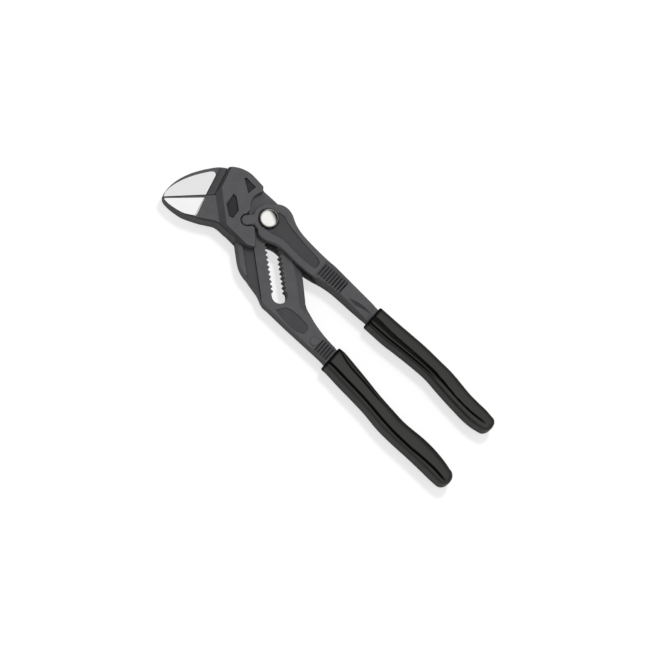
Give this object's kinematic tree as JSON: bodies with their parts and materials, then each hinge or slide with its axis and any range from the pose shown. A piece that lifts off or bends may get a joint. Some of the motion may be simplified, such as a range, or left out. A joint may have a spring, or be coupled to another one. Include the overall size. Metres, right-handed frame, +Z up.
{
  "type": "pliers wrench",
  "caption": "Adjustable pliers wrench with smooth parallel jaws, a toothed slot, a push button and dipped grips.",
  "frame": {"origin": "on the pin axis, in the plane that the tool lies on, at the back face of the adjusting bolt's disc", "axes": "+X from the pin along the lever's handle, +Z up through the push button, +Y across the handles towards the lever's side"},
  "size_m": [0.181, 0.0515, 0.0145],
  "materials": {
    "black_steel": "matt black phosphated",
    "bolt_steel": "hardened, satin",
    "chromed_button": "polished",
    "spring_steel": "drawn",
    "black_plastic": "dipped, soft gloss"
  },
  "bodies": {
    "slotted_half": {"slotted_arm": "black_steel", "slotted_arm_grip": "black_plastic"},
    "adjustment": {"button_spring": "spring_steel"},
    "lever": {"lever_arm": "black_steel", "lever_grip": "black_plastic"},
    "jaw": {"sliding_jaw": "black_steel"},
    "bolt": {"adjusting_bolt": "bolt_steel", "push_button": "chromed_button"}
  },
  "joints": [
    {"name": "adjust_slide", "type": "slide", "parent": "slotted_half", "child": "adjustment", "axis": [0.7408, -0.6717, 0], "range_m": [0, 0.027]},
    {"name": "handle_pivot", "type": "hinge", "parent": "adjustment", "child": "lever", "pos_m": [0, 0, 0], "axis": [0, 0, 1], "range_deg": [0, 30]},
    {"name": "jaw_stroke", "type": "slide", "parent": "adjustment", "child": "jaw", "axis": [0.7408, -0.6717, 0], "range_m": [0, 0.00506]},
    {"name": "button_press", "type": "slide", "parent": "adjustment", "child": "bolt", "axis": [0, 0, -1], "range_m": [0, 0.0022], "stiffness_N_per_m": 3500, "springref_m": -0.0015, "deforming": ["button_spring"]}
  ],
  "couplings": [
    {"joint": "jaw_stroke", "follows": "handle_pivot", "m_per_rad": 0.009644}
  ]
}
